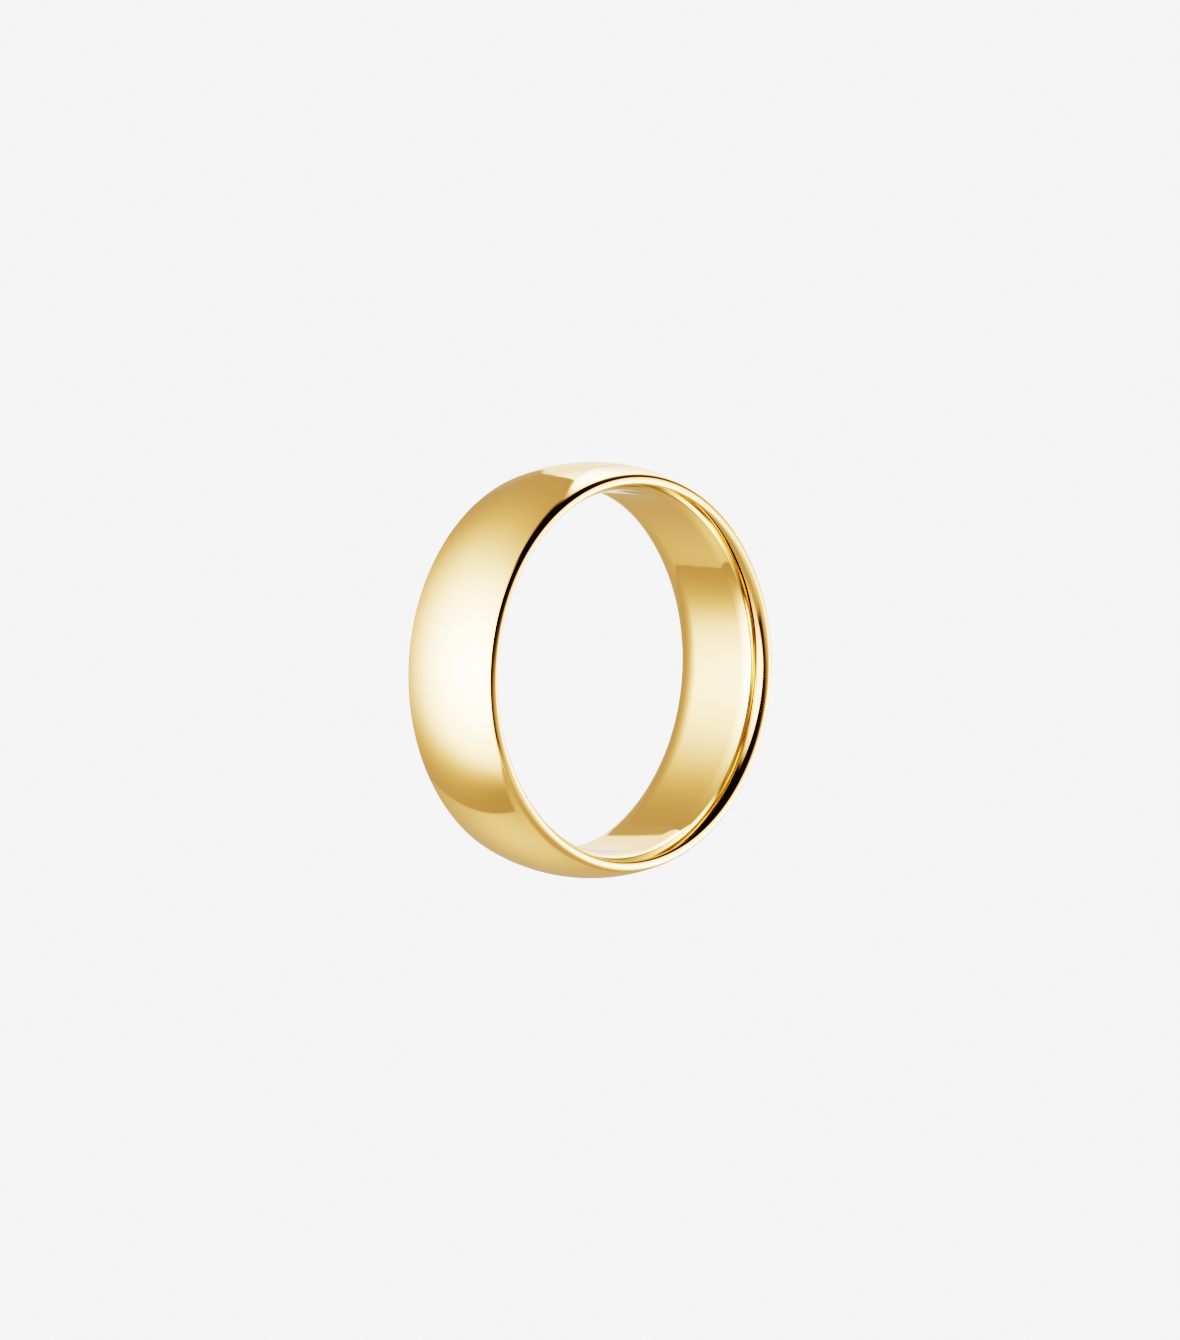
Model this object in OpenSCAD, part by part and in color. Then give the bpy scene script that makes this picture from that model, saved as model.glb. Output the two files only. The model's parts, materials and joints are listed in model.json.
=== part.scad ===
// Plain wedding band: one ring of polished yellow gold with a domed crown,
// rounded edges with a narrow flat on each side, and a comfort curve that
// eases each inner edge.
// The band stands upright. The finger goes through it along Y, Z is up, and
// the origin is the middle of the bore.

/* [Band] */
// Inner diameter of the band
bore_d = 17.8; // [15:0.1:23]
// Width of the band along the finger
band_w = 6; // [4.5:0.1:10]

/* [Section] */
// Wall thickness at the middle of the crown
crown_t = 1.38; // [1.2:0.02:1.8]
// Wall thickness at the sides, measured to the crown's arc carried on
side_t = 0.86; // [0.8:0.02:1.1]
// Radius that rounds the corner between the crown and each side
edge_r = 0.3; // [0.1:0.02:0.3]
// Radius of the comfort curve that leaves the bore at each inner edge
comfort_r = 2.5; // [1.5:0.1:2.5]
// Radius that rounds the corner between the comfort curve and each side
lip_r = 0.3; // [0.1:0.02:0.3]
// Width of the narrow flat on each side
flat_w = 0.03; // [0.02:0.01:0.1]

/* [Smoothness] */
// Number of facets around the band in a preview
facets = 240; // [48:24:360]

/* [Hidden] */
bore_r = bore_d / 2;
half_w = band_w / 2;

// The crown is one arc across the whole width, worked out from its rise.
crown_rise = crown_t - side_t;
crown_arc_r = (half_w * half_w + crown_rise * crown_rise) / (2 * crown_rise);
crown_centre = bore_r + crown_t - crown_arc_r;

// The outer corner's arc touches both the crown and the side.
edge_along = half_w - edge_r;
edge_out = crown_centre + sqrt(pow(crown_arc_r - edge_r, 2) - pow(edge_along, 2));
edge_turn = asin(edge_along / (crown_arc_r - edge_r));

// The lip's arc starts where the flat ends. The comfort curve turns part of the way
// from the bore's wall to the side, and the lip's arc turns the rest. Their centres
// are in line, so they join smoothly.
lip_out = edge_out - flat_w;
lip_along = half_w - lip_r;
comfort_out = bore_r + comfort_r;
comfort_turn = acos((comfort_out - lip_out) / (comfort_r - lip_r));
comfort_along = lip_along - (comfort_r - lip_r) * sin(comfort_turn);

// Steps along each arc of the section
crown_steps = 64;
corner_steps = 8;
comfort_steps = 16;

gold = [0.83, 0.69, 0.38];

// Points on an arc of the section, as [distance from the axis, place along it].
// An angle of 0 points away from the axis and 90 points along it.
function arc(out, along, r, from, to, steps) =
    [for (i = [0:steps]) let (a = from + (to - from) * i / steps) [out + r * cos(a), along + r * sin(a)]];

// The corner at one side, from the crown round to the bore's wall. The lip's
// last point is left out, because the comfort curve starts there.
function side_corner() = concat(
    arc(edge_out, edge_along, edge_r, edge_turn, 90, corner_steps),
    [for (i = [0:corner_steps - 1])
        arc(lip_out, lip_along, lip_r, 90, 180 - comfort_turn, corner_steps)[i]],
    arc(comfort_out, comfort_along, comfort_r, 180 - comfort_turn, 180, comfort_steps)
);

// The same corner on the other side, from the bore's wall round to the crown.
function far_corner() =
    let (near = side_corner())
    [for (i = [len(near) - 1:-1:0]) [near[i][0], -near[i][1]]];

// The crown between the two corners, without the points where they begin.
function crown() =
    let (points = arc(crown_centre, 0, crown_arc_r, -edge_turn, edge_turn, crown_steps))
    [for (i = [1:crown_steps - 1]) points[i]];

// The whole band is turned from one section and lies around Y.
module band() {
    color(gold)
        rotate([-90, 0, 0])
            rotate_extrude($fn = facets)
                polygon(concat(crown(), side_corner(), far_corner()));
}

band();
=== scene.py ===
"""Plain wedding band of polished yellow gold, standing upright on a pale floor.

The band is turned from one section: a domed crown, a rounded corner and a narrow
flat on each side, and a comfort curve that eases each inner edge.

Polished metal shows what is around it. A sphere that only reflections can see, here
called the light tent, stands round the band. It is lit by direction so that the band
shows reflections like those in the photograph, and it stays put when the camera moves.
What the photograph doesn't settle is mostly dark, so from behind much of the gold looks
black.
"""
import json
import math

import bpy
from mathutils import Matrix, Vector


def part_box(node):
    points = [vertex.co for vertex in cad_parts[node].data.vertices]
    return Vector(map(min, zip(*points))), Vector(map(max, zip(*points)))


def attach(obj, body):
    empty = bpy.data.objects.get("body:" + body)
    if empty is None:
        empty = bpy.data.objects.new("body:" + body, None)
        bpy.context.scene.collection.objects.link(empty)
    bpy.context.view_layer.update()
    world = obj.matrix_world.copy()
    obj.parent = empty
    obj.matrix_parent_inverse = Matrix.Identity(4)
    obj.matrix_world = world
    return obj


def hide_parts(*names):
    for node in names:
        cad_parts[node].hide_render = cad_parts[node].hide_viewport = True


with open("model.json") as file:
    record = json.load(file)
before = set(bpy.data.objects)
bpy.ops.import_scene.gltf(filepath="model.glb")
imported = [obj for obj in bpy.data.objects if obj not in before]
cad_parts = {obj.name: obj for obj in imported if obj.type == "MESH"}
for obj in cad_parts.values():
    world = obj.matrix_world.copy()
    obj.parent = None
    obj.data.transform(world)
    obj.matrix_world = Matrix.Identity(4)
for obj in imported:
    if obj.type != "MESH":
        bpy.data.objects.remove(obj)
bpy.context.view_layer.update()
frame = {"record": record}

MM = 0.001
DEGREES = 180 / math.pi     # in one radian

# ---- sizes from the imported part, in metres ----
FINGER_BORE = next(m for m in frame["record"]["mounts"] if m["name"] == "finger_bore")
BORE_R = FINGER_BORE["dims"]["r_mm"] * MM
LOW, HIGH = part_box("band")
OUTER_R = HIGH.z
HALF_WIDTH = HIGH.y

# ---- section of the band, as in the CAD model ----
SIDE_WALL = 0.86 * MM       # wall at the sides, measured to the crown's arc carried on
EDGE_R = 0.3 * MM           # rounds the corner between the crown and each side
COMFORT_R = 2.5 * MM        # comfort curve at each inner edge
LIP_R = 0.3 * MM            # rounds the corner between the comfort curve and each side
FLAT_WIDTH = 0.03 * MM      # narrow flat on each side

# ---- fineness of the turned mesh: steps along each stretch of half the section ----
CROWN_STEPS = 48
EDGE_STEPS = 24
SIDE_STEPS = 4
LIP_STEPS = 20
COMFORT_STEPS = 32
BORE_STEPS = 12
STEPS_AROUND = 720

# ---- finish of the gold ----
GOLD = (0.96, 0.69, 0.36)   # its middle colour
GOLD_DEEP = (0.95, 0.675, 0.34)
GOLD_LIGHT = (0.965, 0.7, 0.38)
LINES_ROUND = 0.12          # changes of the polishing lines per millimetre round the band
LINES_ACROSS = 3.0          # and per millimetre across it
PATCHES_SCALE = 420         # changes per metre
FINE_SCALE = 2600
LINES_TINT = 0.3            # shares of the lines and the patches in the tint
PATCHES_TINT = 0.7
BARE_ROUGHNESS = 0.01       # before the next four are added
PATCHES_ROUGHNESS = 0.03
LINES_ROUGHNESS = 0.012
FINE_ROUGHNESS = 0.008
RUBBED_ROUGHNESS = 0.01
RUBBED = (0.45, 0.05)       # the rubbing grows between these distances from a side, in mm
LINE_DEPTH = 0.0002 * MM

# ---- camera, fitted to the outlines in the photograph ----
VIEW_AZIMUTH = -44.9        # degrees, 0 looks along +Y
VIEW_ELEVATION = 3.67
VIEW_DISTANCE = 0.556
LENS = 303.04               # millimetres
SENSOR = 36                 # width in millimetres
CLIP = (0.1, 10)            # nearest and farthest distance shown
AIM_RIGHT = -0.086 * MM     # the aim passes this far to the right of the band's centre

# ---- light ----
TENT_R = 53 * MM
TENT_SEGMENTS, TENT_RINGS = 128, 64
PALE = 2.32                 # brightness of the floor and the backdrop
FLOOR_HALF = 1.0            # half the floor's side
# The colours that dim and bright lights have once the gold reflects them, matched to the
# photograph. The light's own colour is that divided by the gold's, so it is warm, and
# the dim ones are warmer.
SEEN_DIM = (1, 0.524, 0.17)
SEEN_BRIGHT = (1, 0.538, 0.23)
DIM_WARM = tuple(seen / gold for seen, gold in zip(SEEN_DIM, GOLD))
BRIGHT_WARM = tuple(seen / gold for seen, gold in zip(SEEN_BRIGHT, GOLD))
BRIGHTER = (0.2, 1.8)       # brightness between which one colour turns into the other
# What is left of each colour's light in reflections of reflections, also fitted. Real
# light doesn't do this: it keeps the inner rim from turning too orange.
AGAIN = (0.54, 0.8, 1.3)
SECOND_REFLECTION = 1.5     # a glossy depth above this is a reflection of a reflection

# ---- the light tent. Directions are (azimuth, elevation) in degrees, seen from the
# band: azimuth 0 is towards the photograph's viewer, 90 to the right and -90 to the
# left. These values were fitted to the photograph's reflections, then rounded, and
# some were changed. They describe no real lamp ----
SHARP = 0.8                 # half the width of a sharp edge, in degrees
LOW_LIGHT = 0.5             # brightness below the horizon
DARKNESS = 0.015            # brightness above it, where nothing is lit
HORIZON = (-37, -26)        # elevations between which one turns into the other

# soft lights in the room: brightness, azimuth, elevation, width, height
LOW_ON_THE_RIGHT = (8.5, 100, -20, 25, 20)
LEVEL_ON_THE_RIGHT = (3, 78, 12, 17, 10)
LOW_IN_FRONT = (0.9, 45, -24, 36, 24)
BEHIND_ON_THE_RIGHT = (5, 152, 24, 22, 30)
HIGH_BEHIND = (8.5, 172, 56, 35, 13)

# upright light between the viewer and the panel
FRONT_LIGHT = (5.5, 8, 33)          # brightness, middle and half height in elevation
FRONT_LEFT = (-54, -50)             # azimuths between which it begins
FRONT_RIGHT = -25                   # azimuth of its right edge
FRONT_SOFT = 2.0                    # half the width of that edge
FRONT_TOP = (40, 60)                # elevations between which it ends
FRONT_HIGH = ((42, 78), 7)          # between these elevations the edge leans right by this
FRONT_LOW = ((-35, 0), 4)           # and between these it leans left by this

# The curved panel on the left hangs in a round opening that is cut straight at the top.
# Each cut is given by the direction that it faces.
OPENING = (-122, 1)                 # its middle
OPENING_R = 74.6                    # its radius in degrees
TOP_CUT = (-98.5, -9)
LOW_CUT = (-59, 25.5)
FRONT_CUT = (-128, 20)
LOW_OUT, FRONT_OUT = 0.2, 0.8       # degrees that the two lower cuts stand off
PANEL_LIGHT = 0.44
KEY = (10, -58, 0, 6.5)             # brightness, azimuth, elevation, tightness
KEY_FOOT = -58                      # elevation where it starts to show
KEY_FULL = (-74, -0.6)              # full elevation at azimuth 0, and its change per degree
LIFT = (1.1, -89, 27, 7)            # brightness, azimuth, elevation, tightness
UNDER_LIGHT = 0.5                   # brightness under the panel
POOL = (0.55, -126, -63, 10)        # brightness, azimuth, elevation, tightness

# bright strip behind the panel's end
STRIP_EDGE = -173                   # azimuth of its sharp edge at the foot
STRIP_WIDTH = 60
STRIP_WIDER = ((22, 38), 4)         # between these elevations the strip widens by this
STRIP_NARROWER = ((45, 58), 4.5)    # and between these it narrows by this
STRIP_FOOT = (-10, -1)              # elevations between which it begins
STRIP_LIGHT = (1.6, 4)              # brightness below and at the top
STRIP_RISE = (40, 62)               # elevations between which it brightens


# ------------------------------------------------------------------ shader maths
class Maths:
    """Writes shader maths as short calls that return node outputs."""

    def __init__(self, tree):
        self.tree = tree

    def put(self, socket, value):
        if isinstance(value, bpy.types.NodeSocket):
            self.tree.links.new(value, socket)
        else:
            socket.default_value = value

    def do(self, operation, a, b=None, c=None):
        made = self.tree.nodes.new("ShaderNodeMath")
        made.operation = operation
        for socket, value in zip(made.inputs, (a, b, c)):
            if value is not None:
                self.put(socket, value)
        return made.outputs[0]

    def add(self, *terms):
        total = terms[0]
        for term in terms[1:]:
            total = self.do("ADD", total, term)
        return total

    def sub(self, a, b):
        return self.do("SUBTRACT", a, b)

    def mul(self, *terms):
        total = terms[0]
        for term in terms[1:]:
            total = self.do("MULTIPLY", total, term)
        return total

    def mix(self, share, a, b):
        """a where share is 0 and b where it is 1."""
        return self.add(a, self.mul(share, self.sub(b, a)))

    def ramp(self, value, low, high, a=0.0, b=1.0):
        """Runs smoothly from a to b as the value goes from low to high."""
        made = self.tree.nodes.new("ShaderNodeMapRange")
        made.interpolation_type = "SMOOTHSTEP"
        for name, given in zip(("Value", "From Min", "From Max", "To Min", "To Max"),
                               (value, low, high, a, b)):
            self.put(made.inputs[name], given)
        return made.outputs[0]

    def mix_colour(self, share, a, b):
        """Colour a where share is 0 and b where it is 1."""
        made = self.tree.nodes.new("ShaderNodeMix")
        made.data_type = "RGBA"
        self.put(made.inputs["Factor"], share)
        made.inputs["A"].default_value = (*a, 1)
        made.inputs["B"].default_value = (*b, 1)
        return made.outputs["Result"]

    def multiply_colour(self, a, b):
        made = self.tree.nodes.new("ShaderNodeVectorMath")
        made.operation = "MULTIPLY"
        self.put(made.inputs[0], a)
        self.put(made.inputs[1], b)
        return made.outputs["Vector"]


def unit(azimuth, elevation):
    """Direction in the tent's own axes: X towards the viewer, Y to the right, Z up."""
    a, e = math.radians(azimuth), math.radians(elevation)
    return (math.cos(e) * math.cos(a), math.cos(e) * math.sin(a), math.sin(e))


class Tent(Maths):
    """Maths on the tent's wall, by the direction in which the band sees each spot."""

    def __init__(self, tree):
        super().__init__(tree)
        place = tree.nodes.new("ShaderNodeTexCoord").outputs["Object"]
        normalised = tree.nodes.new("ShaderNodeVectorMath")
        normalised.operation = "NORMALIZE"
        self.put(normalised.inputs[0], place)
        self.way = normalised.outputs[0]
        parts = tree.nodes.new("ShaderNodeSeparateXYZ")
        self.put(parts.inputs[0], self.way)
        self.azimuth = self.mul(self.do("ARCTAN2", parts.outputs[1], parts.outputs[0]), DEGREES)
        self.elevation = self.mul(self.do("ARCSINE", parts.outputs[2]), DEGREES)

    def facing(self, azimuth, elevation):
        """Cosine of the angle away from a direction."""
        dot = self.tree.nodes.new("ShaderNodeVectorMath")
        dot.operation = "DOT_PRODUCT"
        self.put(dot.inputs[0], self.way)
        dot.inputs[1].default_value = unit(azimuth, elevation)
        return dot.outputs["Value"]

    def round_from(self, azimuth):
        """Degrees round from an azimuth, between -180 and 180."""
        return self.do("WRAP", self.sub(self.azimuth, azimuth), 180.0, -180.0)

    def within(self, towards, beyond=0.0):
        """1 on the side of a straight edge that a direction points to, 0 on the other.
        The edge may lie a number of degrees beyond the tent's own middle."""
        side = self.mul(self.do("ARCSINE", self.facing(*towards)), DEGREES)
        return self.ramp(self.sub(side, beyond), -SHARP, SHARP)

    def lobe(self, value, azimuth, elevation, tightness):
        """A round soft light."""
        drop = self.mul(self.sub(self.facing(azimuth, elevation), 1.0), tightness)
        return self.mul(value, self.do("EXPONENT", drop))

    def glow(self, value, azimuth, elevation, width, height):
        """A soft light with its own width and height in degrees."""
        across = self.do("POWER", self.mul(self.round_from(azimuth), 1 / width), 2.0)
        up = self.do("POWER", self.mul(self.sub(self.elevation, elevation), 1 / height), 2.0)
        return self.mul(value, self.do("EXPONENT", self.mul(self.add(across, up), -1.0)))


def tent_light(t):
    """Brightness of the tent's wall."""
    room = t.mix(t.ramp(t.elevation, *HORIZON), LOW_LIGHT, DARKNESS)
    for light in (LOW_ON_THE_RIGHT, LEVEL_ON_THE_RIGHT, LOW_IN_FRONT, BEHIND_ON_THE_RIGHT,
                  HIGH_BEHIND):
        room = t.add(room, t.glow(*light))
    (high, lean_right), (low, lean_left) = FRONT_HIGH, FRONT_LOW
    right_edge = t.add(FRONT_RIGHT, t.ramp(t.elevation, *high, 0.0, lean_right),
                       t.ramp(t.elevation, *low, -lean_left, 0.0))
    brightness, middle, tall = FRONT_LIGHT
    up = t.do("POWER", t.mul(t.sub(t.elevation, middle), 1 / tall), 2.0)
    room = t.add(room, t.mul(brightness, t.do("EXPONENT", t.mul(up, -1.0)),
                             t.ramp(t.azimuth, *FRONT_LEFT),
                             t.ramp(t.elevation, *FRONT_TOP, 1.0, 0.0),
                             t.ramp(t.sub(t.azimuth, right_edge), -FRONT_SOFT, FRONT_SOFT,
                                    1.0, 0.0)))

    opening = t.mul(t.within(OPENING, 90 - OPENING_R), t.within(TOP_CUT))
    on_panel = t.mul(t.within(LOW_CUT, -LOW_OUT), t.within(FRONT_CUT, -FRONT_OUT))
    full, lean = KEY_FULL
    full_here = t.add(full, t.mul(t.azimuth, lean))
    key = t.mul(t.lobe(*KEY), t.ramp(t.elevation, KEY_FOOT, full_here))
    panel = t.add(PANEL_LIGHT, key, t.lobe(*LIFT))
    under = t.add(UNDER_LIGHT, t.lobe(*POOL))
    left = t.mix(on_panel, under, panel)

    (rise, wider), (top, narrower) = STRIP_WIDER, STRIP_NARROWER
    past = t.add(t.round_from(STRIP_EDGE), t.ramp(t.elevation, *rise, 0.0, -wider),
                 t.ramp(t.elevation, *top, 0.0, narrower))
    strip = t.mul(t.ramp(past, -SHARP, SHARP, 1.0, 0.0), t.ramp(t.elevation, *STRIP_FOOT),
                  t.do("GREATER_THAN", past, -STRIP_WIDTH), opening)
    return t.mix(strip, t.mix(opening, room, left),
                 t.ramp(t.elevation, *STRIP_RISE, *STRIP_LIGHT))


# ------------------------------------------------------------------ materials
def new_material(name):
    material = bpy.data.materials.new(name)
    material.use_nodes = True
    tree = material.node_tree
    tree.nodes.clear()
    return material, tree


def plain_emission(name, brightness):
    """A pale surface with no shading of its own."""
    material, tree = new_material(name)
    light = tree.nodes.new("ShaderNodeEmission")
    light.inputs["Color"].default_value = (1, 1, 1, 1)
    light.inputs["Strength"].default_value = brightness
    out = tree.nodes.new("ShaderNodeOutputMaterial")
    tree.links.new(light.outputs[0], out.inputs["Surface"])
    return material


def tent_material():
    material, tree = new_material("tent_light")
    t = Tent(tree)
    light = tree.nodes.new("ShaderNodeEmission")
    brightness = t.do("MAXIMUM", tent_light(t), 0.0)
    t.put(light.inputs["Strength"], brightness)
    path = tree.nodes.new("ShaderNodeLightPath")
    again = t.do("GREATER_THAN", path.outputs["Glossy Depth"], SECOND_REFLECTION)
    colour = t.mix_colour(t.ramp(brightness, *BRIGHTER), DIM_WARM, BRIGHT_WARM)
    kept = t.mix_colour(again, (1, 1, 1), AGAIN)
    t.put(light.inputs["Color"], t.multiply_colour(colour, kept))
    out = tree.nodes.new("ShaderNodeOutputMaterial")
    tree.links.new(light.outputs[0], out.inputs["Surface"])
    material.cycles.emission_sampling = "NONE"
    return material


def noise(m, where, scale, detail, spread=None):
    """Soft random values around 0.5. A second coordinate may be given as spread."""
    made = m.tree.nodes.new("ShaderNodeTexNoise")
    made.noise_dimensions = "3D" if spread is None else "4D"
    m.put(made.inputs["Vector"], where)
    if spread is not None:
        m.put(made.inputs["W"], spread)
    made.inputs["Scale"].default_value = scale
    made.inputs["Detail"].default_value = detail
    return made.outputs["Fac"]


def polished_gold():
    """Mirror-polished yellow gold. Faint polishing lines run round the band, the shine
    varies a little from place to place, and the sides and corners are the most rubbed."""
    material, tree = new_material("polished_gold")
    m = Maths(tree)
    place = tree.nodes.new("ShaderNodeTexCoord").outputs["Object"]
    parts = tree.nodes.new("ShaderNodeSeparateXYZ")
    m.put(parts.inputs[0], place)
    x, y, z = (m.mul(part, 1 / MM) for part in parts.outputs)
    out_from_axis = m.do("SQRT", m.add(m.mul(x, x), m.mul(z, z)))
    along = m.do("ABSOLUTE", y)

    # lines that follow the polishing wheel round the band, long and very shallow
    wheel = tree.nodes.new("ShaderNodeCombineXYZ")
    for socket, value, scale in zip(wheel.inputs, (x, y, z),
                                    (LINES_ROUND, LINES_ACROSS, LINES_ROUND)):
        m.put(socket, m.mul(value, scale))
    lines = noise(m, wheel.outputs[0], 1, detail=2,
                  spread=m.mul(out_from_axis, LINES_ACROSS))
    # broad patches where the polish is a little softer
    patches = noise(m, place, PATCHES_SCALE, detail=2)
    fine = noise(m, place, FINE_SCALE, detail=3)
    rubbed = m.ramp(along, *(HALF_WIDTH / MM - inwards for inwards in RUBBED))

    roughness = m.add(BARE_ROUGHNESS, m.mul(patches, PATCHES_ROUGHNESS),
                      m.mul(lines, LINES_ROUGHNESS), m.mul(fine, FINE_ROUGHNESS),
                      m.mul(rubbed, RUBBED_ROUGHNESS))
    tint = m.mix_colour(m.add(m.mul(patches, PATCHES_TINT), m.mul(lines, LINES_TINT)),
                        GOLD_DEEP, GOLD_LIGHT)

    bump = tree.nodes.new("ShaderNodeBump")
    bump.inputs["Strength"].default_value = 1.0
    bump.inputs["Distance"].default_value = LINE_DEPTH
    m.put(bump.inputs["Height"], lines)

    shader = tree.nodes.new("ShaderNodeBsdfPrincipled")
    shader.inputs["Metallic"].default_value = 1.0
    m.put(shader.inputs["Base Color"], tint)
    m.put(shader.inputs["Roughness"], roughness)
    m.put(shader.inputs["Normal"], bump.outputs["Normal"])
    out = tree.nodes.new("ShaderNodeOutputMaterial")
    tree.links.new(shader.outputs[0], out.inputs["Surface"])
    return material


# ------------------------------------------------------------------ the band
def arc(out, along, radius, start, stop, steps):
    """Points and normals of an arc of the section, as (away from the axis, along it).
    An angle of 0 points away from the axis and 90 points along it."""
    made = []
    for i in range(steps + 1):
        a = math.radians(start + (stop - start) * i / steps)
        normal = (math.cos(a), math.sin(a))
        made.append(((out + radius * normal[0], along + radius * normal[1]), normal))
    return made


def straight(start, stop, normal, steps):
    """Points between two points, without those two, all with one normal."""
    return [((start[0] + (stop[0] - start[0]) * i / steps,
              start[1] + (stop[1] - start[1]) * i / steps), normal)
            for i in range(1, steps)]


def half_section():
    """From the top of the crown round one side to the middle of the bore."""
    rise = OUTER_R - BORE_R - SIDE_WALL
    crown_r = (HALF_WIDTH ** 2 + rise ** 2) / (2 * rise)
    crown_centre = OUTER_R - crown_r
    edge_along = HALF_WIDTH - EDGE_R
    edge_out = crown_centre + math.sqrt((crown_r - EDGE_R) ** 2 - edge_along ** 2)
    edge_turn = math.degrees(math.asin(edge_along / (crown_r - EDGE_R)))
    lip_out = edge_out - FLAT_WIDTH
    lip_along = HALF_WIDTH - LIP_R
    comfort_out = BORE_R + COMFORT_R
    turn = math.acos((comfort_out - lip_out) / (COMFORT_R - LIP_R))
    comfort_along = lip_along - (COMFORT_R - LIP_R) * math.sin(turn)
    lip_end = 180 - math.degrees(turn)

    crown = arc(crown_centre, 0, crown_r, 0, edge_turn, CROWN_STEPS)
    edge = arc(edge_out, edge_along, EDGE_R, edge_turn, 90, EDGE_STEPS)
    lip = arc(lip_out, lip_along, LIP_R, 90, lip_end, LIP_STEPS)
    comfort = arc(comfort_out, comfort_along, COMFORT_R, lip_end, 180, COMFORT_STEPS)
    side = straight(edge[-1][0], lip[0][0], (0, 1), SIDE_STEPS)
    bore = straight(comfort[-1][0], (BORE_R, 0), (-1, 0), BORE_STEPS)
    middle = [((BORE_R, 0), (-1, 0))]
    return crown + edge[1:] + side + lip + comfort[1:] + bore + middle


def full_section():
    """The whole closed outline: half the section, then its mirror image."""
    near = half_section()
    far = [((p[0], -p[1]), (n[0], -n[1])) for p, n in reversed(near[1:-1])]
    return near + far


def turned(name, section, around):
    """Turns the section round Y into a smooth closed mesh with exact normals."""
    points, normals, faces = [], [], []
    count = len(section)
    for i in range(around):
        a = 2 * math.pi * i / around
        c, s = math.cos(a), math.sin(a)
        for (r, y), (nr, ny) in section:
            points.append((r * c, y, r * s))
            normals.append((nr * c, ny, nr * s))
        here, there = i * count, (i + 1) % around * count
        for j in range(count):
            k = (j + 1) % count
            faces.append((here + j, here + k, there + k, there + j))
    mesh = bpy.data.meshes.new(name)
    mesh.from_pydata(points, [], faces)
    mesh.update()
    mesh.polygons.foreach_set("use_smooth", [True] * len(mesh.polygons))
    mesh.normals_split_custom_set_from_vertices(normals)
    band = bpy.data.objects.new(name, mesh)
    bpy.context.scene.collection.objects.link(band)
    return band


band = turned("polished_band", full_section(), STEPS_AROUND)
band.data.materials.append(polished_gold())
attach(band, "root")
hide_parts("band")


# ------------------------------------------------------------------ studio
def seen_by(obj, camera, gloss):
    """Shows a piece of the studio to the camera or to reflections, and to nothing else."""
    obj.visible_camera = camera
    obj.visible_glossy = gloss
    obj.visible_diffuse = False
    obj.visible_transmission = False
    obj.visible_volume_scatter = False
    obj.visible_shadow = False


def make_floor():
    mesh = bpy.data.meshes.new("floor")
    corners = [(x * FLOOR_HALF, y * FLOOR_HALF, LOW.z)
               for x, y in ((-1, -1), (1, -1), (1, 1), (-1, 1))]
    mesh.from_pydata(corners, [], [(0, 1, 2, 3)])
    floor = bpy.data.objects.new("floor", mesh)
    bpy.context.scene.collection.objects.link(floor)
    mesh.materials.append(plain_emission("pale_floor", PALE))
    seen_by(floor, camera=True, gloss=False)


def make_tent():
    bpy.ops.mesh.primitive_uv_sphere_add(segments=TENT_SEGMENTS, ring_count=TENT_RINGS,
                                         radius=TENT_R)
    tent = bpy.context.object
    tent.name = "light_tent"
    tent.rotation_euler.z = math.radians(VIEW_AZIMUTH - 90)
    tent.data.materials.append(tent_material())
    seen_by(tent, camera=False, gloss=True)


def make_world():
    world = bpy.data.worlds.new("pale_backdrop")
    bpy.context.scene.world = world
    world.use_nodes = True
    sky = world.node_tree.nodes["Background"]
    sky.inputs["Color"].default_value = (1, 1, 1, 1)
    sky.inputs["Strength"].default_value = PALE


def make_camera():
    a, e = math.radians(VIEW_AZIMUTH), math.radians(VIEW_ELEVATION)
    back = Vector((math.sin(a) * math.cos(e), -math.cos(a) * math.cos(e), math.sin(e)))
    right = Vector((math.cos(a), math.sin(a), 0))
    data = bpy.data.cameras.new("camera")
    data.lens = LENS
    data.sensor_width = SENSOR
    data.clip_start, data.clip_end = CLIP
    camera = bpy.data.objects.new("camera", data)
    bpy.context.scene.collection.objects.link(camera)
    camera.location = right * AIM_RIGHT + back * VIEW_DISTANCE
    camera.rotation_mode = "QUATERNION"
    camera.rotation_quaternion = (-back).to_track_quat("-Z", "Y")
    bpy.context.scene.camera = camera


make_floor()
make_tent()
make_world()
make_camera()
scene = bpy.context.scene
scene.view_settings.view_transform = "Filmic"
scene.view_settings.look = "Very High Contrast"
